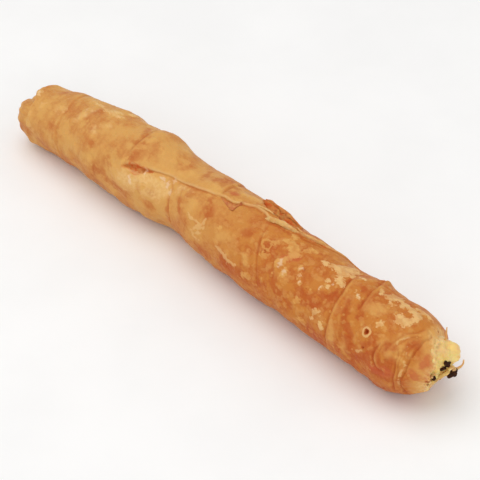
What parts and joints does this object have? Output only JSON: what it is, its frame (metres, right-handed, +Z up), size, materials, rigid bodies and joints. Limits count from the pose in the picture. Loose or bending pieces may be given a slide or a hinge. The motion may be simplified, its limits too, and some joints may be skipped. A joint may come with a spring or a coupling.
{
  "type": "potato borek stick",
  "caption": "Long baked stick of thin dough wound round a potato filling, lying on its side, golden brown with lapped sheet edges and an open end where the filling shows.",
  "frame": {"origin": "on the table under the middle of the roll", "axes": "+X along the roll to the end where the filling shows, +Z up, -Y towards the side with the long lapped seam"},
  "size_m": [0.2689, 0.0412, 0.0393],
  "materials": {
    "baked_dough": "golden brown baked dough, slightly oily",
    "potato": "soft mashed potato, dull"
  },
  "bodies": {
    "root": {"pastry": "baked_dough", "filling": "potato"}
  },
  "joints": []
}
